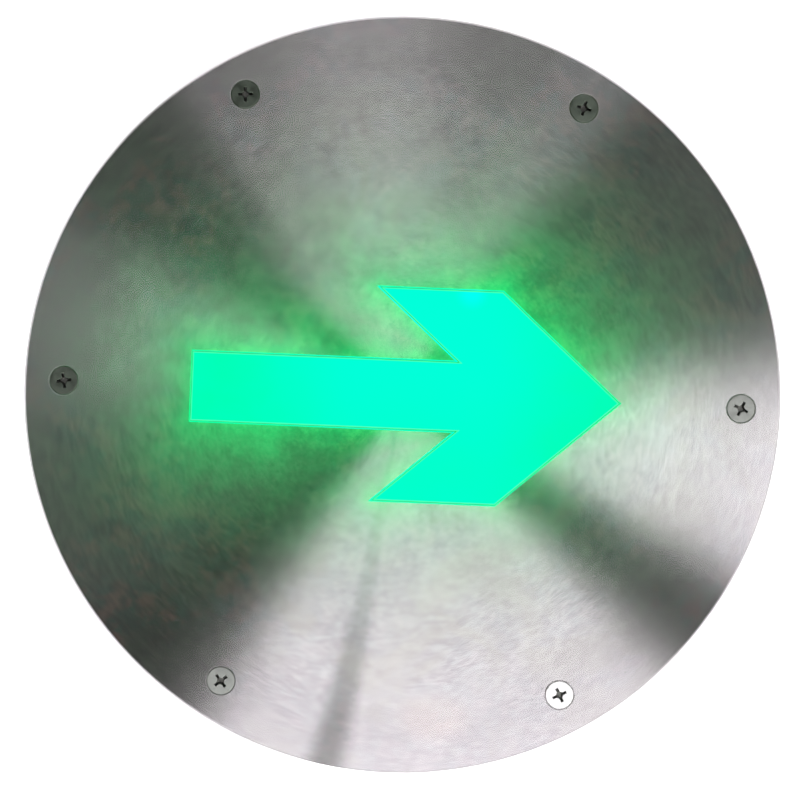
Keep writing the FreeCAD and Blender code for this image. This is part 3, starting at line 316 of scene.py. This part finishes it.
def arrow_corners(inset):
    """Corners of the lens's boss, from its own top face, moved inwards."""
    mesh = NODES["arrow_lens"].data
    top = max(v.co.z for v in mesh.vertices)
    work = bmesh.new()
    work.from_mesh(mesh)
    bmesh.ops.remove_doubles(work, verts=work.verts, dist=1e-6)
    flat = [f for f in work.faces if all(abs(v.co.z - top) < 1e-6 for v in f.verts)]
    rim = {}
    for face in flat:
        for edge in face.edges:
            if sum(f in flat for f in edge.link_faces) == 1:
                for vert, other in (edge.verts, reversed(edge.verts)):
                    rim.setdefault(vert, []).append(other)
    start = max(rim, key=lambda v: v.co.x)
    loop, previous, here = [], None, start
    while here is not start or not loop:
        loop.append(here.co.copy())
        onward = [v for v in rim[here] if v is not previous]
        previous, here = here, onward[0]
    work.free()
    around = zip(loop[-1:] + loop, loop, loop[1:] + loop[:1])
    corners = [p for a, p, b in around if (p - a).cross(b - p).length > 1e-9]
    turn = sum(a.x * b.y - b.x * a.y for a, b in zip(corners, corners[1:] + corners[:1]))
    if turn < 0:
        corners.reverse()
    moved = []
    for a, p, b in zip(corners[-1:] + corners, corners, corners[1:] + corners[:1]):
        one, two = (p - a).normalized(), (b - p).normalized()
        inward = Vector((-one.y, one.x, 0)) + Vector((-two.y, two.x, 0))
        inward *= inset / (1 + one.dot(two))
        moved.append(p + inward)
    return moved


def lens_edge():
    """A thin bead of light on the polished bevel that runs round the lens."""
    # Each row runs this far inside the lens's outline, and this far above its top.
    rows = [(-0.36 * MM, -0.36 * MM), (-0.16 * MM, -0.10 * MM), (-0.04 * MM, 0.03 * MM), (0.14 * MM, 0.04 * MM)]
    rings = []
    for inset, rise in rows:
        rings.append([p + Vector((0, 0, rise)) for p in arrow_corners(inset)])
    made = bpy.data.meshes.new("lens_edge")
    count = len(rings[0])
    faces = []
    for row in range(len(rows) - 1):
        for i in range(count):
            j = (i + 1) % count
            faces.append((row * count + i, row * count + j, (row + 1) * count + j, (row + 1) * count + i))
    made.from_pydata([p for ring in rings for p in ring], [], faces)
    for name, glow in (("lens_bevel", (0.04, 1.0, 0.42)), ("lit_gap", (0.008, 0.42, 0.09))):
        look = Look(name)
        uneven = look.noise(look.place, 150.0, detail=3.0)
        look.set(Base_Color=look.blend(uneven, (0.0, 0.10, 0.04), (0.01, 0.16, 0.07)), Roughness=0.3, IOR=1.49,
                 Emission_Color=(*glow, 1.0), Emission_Strength=1.0)
        made.materials.append(look.material)
    # The outer row lies over the gap between lens and plate and glows a dimmer green: painted shade in the gap,
    # lit green by the lens.
    for face in made.polygons[:count]:
        face.material_index = 1
    piece = bpy.data.objects.new("lens_edge", made)
    bpy.context.scene.collection.objects.link(piece)
    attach(piece, "marker")


# ---------------------------------------------------------------- metals, plastics and rubber

def cast_look():
    """Shot-blasted die casting: an orange-peel surface, cloudy grey, with rounded edges and cast flow marks."""
    look = Look("cast_aluminium")
    grit = look.noise(look.place, 900.0, detail=3.0, rough=0.6)
    peel = look.noise(look.place, 260.0, detail=2.0)
    clouds = look.noise(look.vector("MULTIPLY", look.place, (1, 1, 2.2)), 24.0, detail=5.0, rough=0.6, warp=0.8)
    flow = look.noise(look.vector("MULTIPLY", look.place, (1, 1, 0.25)), 70.0, detail=3.0, rough=0.5, warp=1.5)
    colour = look.blend(look.span(clouds, 0.3, 0.72), (0.33, 0.335, 0.345), (0.50, 0.505, 0.515))
    colour = look.blend(look.span(flow, 0.52, 0.7, 0.0, 0.25), colour, (0.24, 0.245, 0.255))
    colour = look.blend(look.span(grit, 0.35, 0.65, 0.0, 0.16), colour, (0.78, 0.78, 0.78))
    rough = look.math("ADD", look.span(clouds, 0.3, 0.7, 0.42, 0.56), look.math("MULTIPLY", grit, 0.08))
    normal = look.bump(grit, 0.35, 0.00008, look.bump(peel, 0.3, 0.0002, look.soft_edge(0.0006)))
    return look.set(Base_Color=colour, Roughness=rough, Normal=normal, Metallic=1.0)


def metal_look(name, light, dark, rough, scale=300.0, streak=(1, 1, 1)):
    """Plated, rolled or drawn metal with soft patches and streaks."""
    look = Look(name)
    lines = look.noise(look.vector("MULTIPLY", look.place, streak), scale * 4, detail=3.0)
    patches = look.noise(look.place, scale * 0.35, detail=4.0, rough=0.6)
    colour = look.blend(look.span(patches, 0.3, 0.72), light, dark)
    colour = look.blend(look.span(lines, 0.4, 0.7, 0.0, 0.25), colour, dark)
    look.set(Base_Color=colour, Metallic=1.0)
    return look.set(Roughness=look.span(patches, 0.25, 0.75, rough, rough + 0.16),
                    Normal=look.bump(lines, 0.12, 0.00004, look.soft_edge(0.0002)))


def plastic_look(name, base, wear_and_painted_light, rough, grain=1400.0, depth=0.00004):
    """Moulded plastic: fine spark-eroded grain, slight shade changes and soft edges."""
    look = Look(name)
    pores = look.cells(look.place, grain)
    patches = look.noise(look.place, 90.0, detail=4.0, rough=0.6)
    dust = look.noise(look.place, 700.0, detail=4.0, rough=0.7)
    colour = look.blend(look.span(patches, 0.3, 0.7), base, wear_and_painted_light)
    colour = look.blend(look.span(dust, 0.58, 0.8, 0.0, 0.2), colour, (0.5, 0.49, 0.46))
    return look.set(Base_Color=colour, Metallic=0.0, IOR=1.5,
                    Roughness=look.span(patches, 0.3, 0.7, rough, min(rough + 0.14, 1.0)),
                    Normal=look.bump(pores, 0.35, depth, look.soft_edge(0.0003)))


def rubber_look():
    """Matt black rubber with a dusty bloom."""
    look = Look("black_rubber")
    bloom = look.noise(look.place, 240.0, detail=5.0, rough=0.65)
    skin = look.noise(look.place, 1500.0, detail=2.0)
    colour = look.blend(look.span(bloom, 0.4, 0.75), (0.018, 0.018, 0.019), (0.075, 0.073, 0.07))
    return look.set(Base_Color=colour, Roughness=look.span(bloom, 0.3, 0.7, 0.62, 0.85), Metallic=0.0,
                    Normal=look.bump(skin, 0.3, 0.00005, look.soft_edge(0.0002)))


def board_look(name, mask, copper, rough):
    """Circuit board: solder mask over a faint pattern of tracks."""
    look = Look(name)
    x, y, z = look.split(look.place)
    across = look.math("PINGPONG", x, 0.0012)
    along = look.math("PINGPONG", y, 0.0015)
    patch = look.noise(look.vector("SNAP", look.place, (0.006, 0.004, 1.0)), 150.0)
    track = look.math("ADD", look.span(across, 0.0004, 0.0005), look.span(along, 0.0005, 0.0006))
    track = look.math("MULTIPLY", track, look.span(patch, 0.45, 0.55))
    weave = look.noise(look.place, 1200.0)
    colour = look.blend(look.math("MULTIPLY", track, 0.35), mask, copper)
    return look.set(Base_Color=colour, Roughness=look.span(weave, 0.3, 0.7, rough, rough + 0.12), Metallic=0.0,
                    Normal=look.bump(track, 0.2, 0.00003))


def dress():
    """Gives every carried-over part its material."""
    use(plate_look(), "face_plate")
    use(screw_look(), "face_screws")
    use(lens_look(), "arrow_lens")
    use(cast_look(), "housing")
    zinc = metal_look("zinc_plate", (0.66, 0.67, 0.68), (0.50, 0.51, 0.54), 0.26)
    use(zinc, "clamp_frame", "clamp_washers", "clamp_nuts", "earth_screw", "earth_washer", "gear_tray",
        "tray_screws", "battery_contacts", "carrier_screws", "board_screws", "test_switch_nut",
        "test_switch_tags")
    use(metal_look("stud_steel", (0.62, 0.61, 0.60), (0.48, 0.47, 0.46), 0.32, 500.0, (1, 1, 8)), "clamp_studs")
    use(metal_look("rolled_aluminium", (0.74, 0.75, 0.76), (0.62, 0.63, 0.65), 0.34, 200.0, (12, 0.4, 1)),
        "carrier_plate")
    use(metal_look("spring_wire", (0.55, 0.55, 0.56), (0.38, 0.38, 0.40), 0.30, 900.0), "test_spring")
    use(metal_look("brass", (0.80, 0.60, 0.25), (0.58, 0.41, 0.16), 0.28), "terminal_screws")
    use(plastic_look("black_nylon", (0.020, 0.020, 0.022), (0.045, 0.045, 0.048), 0.42),
        "gland_body", "gland_nut", "gland_locknut", "vent_plug", "battery_holder", "battery_strap",
        "test_switch_body", "driver_components")
    use(plastic_look("grey_case", (0.34, 0.36, 0.37), (0.44, 0.46, 0.47), 0.45), "driver_case", "driver_lid")
    use(plastic_look("white_case", (0.78, 0.78, 0.75), (0.70, 0.69, 0.65), 0.40),
        "terminal_block", "light_shroud", "led_plug")
    use(plastic_look("opal_sheet", (0.86, 0.88, 0.86), (0.80, 0.82, 0.80), 0.55, 2500.0), "diffuser_sheet")
    use(plastic_look("button_red", (0.60, 0.03, 0.02), (0.48, 0.02, 0.02), 0.30), "test_button")
    use(plastic_look("capacitor_sleeve", (0.02, 0.03, 0.09), (0.03, 0.05, 0.13), 0.25), "driver_capacitors")
    use(plastic_look("cell_wrap", (0.07, 0.30, 0.17), (0.05, 0.22, 0.13), 0.25), "battery_cells")
    use(plastic_look("ferrite", (0.06, 0.06, 0.065), (0.10, 0.10, 0.10), 0.60), "driver_transformer")
    use(plastic_look("led_case", (0.86, 0.86, 0.82), (0.78, 0.78, 0.74), 0.35, 3000.0, 0.00001), "led_packages")
    use(plastic_look("led_phosphor", (0.85, 0.78, 0.20), (0.80, 0.70, 0.15), 0.30, 4000.0, 0.00001),
        "led_phosphors")
    use(plastic_look("red_insulation", (0.52, 0.02, 0.02), (0.42, 0.02, 0.02), 0.35), "lead_red")
    use(plastic_look("black_insulation", (0.02, 0.02, 0.02), (0.04, 0.04, 0.04), 0.38), "lead_black")
    use(board_look("driver_board_mask", (0.01, 0.12, 0.05), (0.05, 0.30, 0.12), 0.3), "driver_board")
    use(board_look("lamp_board_mask", (0.82, 0.83, 0.82), (0.72, 0.70, 0.62), 0.35), "led_board")
    use(rubber_look(), "lens_gasket", "face_gasket", "gland_seal", "gland_washer", "vent_seal", "lead_grommet")


# ---------------------------------------------------------------- stage, light and camera

def floor():
    """A large pale floor that glows, so that it stays pale right up to the object."""
    half, clear_of_foot = 6.0, 0.0002
    mesh = bpy.data.meshes.new("floor")
    corners = [(-half, -half, 0), (half, -half, 0), (half, half, 0), (-half, half, 0)]
    mesh.from_pydata(corners, [], [(0, 1, 2, 3)])
    sheet = bpy.data.objects.new("floor", mesh)
    sheet.location.z = -clear_of_foot
    bpy.context.scene.collection.objects.link(sheet)
    look = Look("pale_floor")
    look.set(Base_Color=(0.85, 0.85, 0.85), Roughness=0.9)
    look.set(Emission_Color=(1.0, 1.0, 1.0, 1.0), Emission_Strength=0.8)
    mesh.materials.append(look.material)


# Soft boxes round the compass, each with five numbers: the bearing of its first edge in degrees from +X, the
# degrees that edge fades over, the same two for its second edge, and how bright it is.
SOFT_BOXES = {
    "front wall": (-118, 5, -44, 4, 1.0),
    "right window": (-25, 4, 6, 14, 1.0),
    "right fill": (10, 12, 50, 8, 0.06),
    "strip behind": (55, 6, 65, 12, 0.2),
    "card behind": (85, 12, 110, 12, 0.14),
    "card on the left": (-170, 12, -140, 12, 0.05),
}
# The boxes are brightest where a direction's z is BOX_HEIGHT, and end BOX_REACH above and below it.
BOX_STRENGTH = 11.0
BOX_HEIGHT = 0.87
BOX_REACH = 0.12


def studio():
    """A world that is white near the horizon and almost dark above it, with the soft boxes high up."""
    world = bpy.data.worlds.new("studio")
    bpy.context.scene.world = world
    world.use_nodes = True
    tree = world.node_tree
    back = tree.nodes["Background"]

    def add(kind, *inputs, **settings):
        node = tree.nodes.new(kind)
        for name, setting in settings.items():
            setattr(node, name, setting)
        for socket, given in zip(node.inputs, inputs):
            if isinstance(given, bpy.types.NodeSocket):
                tree.links.new(given, socket)
            else:
                socket.default_value = given
        return node.outputs[0]

    def smooth(given, low, high, to_low, to_high):
        return add("ShaderNodeMapRange", given, low, high, to_low, to_high, interpolation_type="SMOOTHSTEP")

    split = tree.nodes.new("ShaderNodeSeparateXYZ")
    tree.links.new(tree.nodes.new("ShaderNodeTexCoord").outputs["Generated"], split.inputs[0])
    x, y, z = split.outputs
    azimuth = add("ShaderNodeMath", y, x, operation="ARCTAN2")
    boxes = 0.0
    for start, start_fade, end, end_fade, level in SOFT_BOXES.values():
        start, end = math.radians(start), math.radians(end)
        start_half, end_half = math.radians(start_fade / 2), math.radians(end_fade / 2)
        lit = smooth(azimuth, start - start_half, start + start_half, 0.0, level)
        kept = smooth(azimuth, end - end_half, end + end_half, 1.0, 0.0)
        boxes = add("ShaderNodeMath", lit, kept, boxes, operation="MULTIPLY_ADD")
    off_height = add("ShaderNodeMath", z, BOX_HEIGHT, operation="SUBTRACT")
    off_height = add("ShaderNodeMath", off_height, operation="ABSOLUTE")
    height = smooth(off_height, 0.0, BOX_REACH, BOX_STRENGTH, 0.0)
    boxes = add("ShaderNodeMath", boxes, height, operation="MULTIPLY")
    sky = smooth(z, 0.1, 0.56, 1.0, 0.008)
    total = add("ShaderNodeMath", boxes, sky, operation="ADD")
    tree.links.new(total, back.inputs["Strength"])
    back.inputs["Color"].default_value = (1.0, 1.0, 1.0, 1)


def camera():
    """Looks straight down on the face, turned a little, with the plate's rim near the picture's edges."""
    data = bpy.data.cameras.new("camera")
    data.lens = 100
    data.sensor_width = 36
    share, left, down = 0.9465, 0.0027, 0.0069
    width = 2 * PLATE_RADIUS / share
    distance = width * data.lens / data.sensor_width
    eye = bpy.data.objects.new("camera", data)
    eye.location = (-left * width, -down * width, PLATE_HIGH.z + distance)
    eye.rotation_euler = (0, 0, SKEW)
    data.clip_start, data.clip_end = 0.01, 50
    bpy.context.scene.collection.objects.link(eye)
    bpy.context.scene.camera = eye


dress()
lens_edge()
floor()
studio()
camera()
bpy.context.scene.view_settings.view_transform = "Standard"
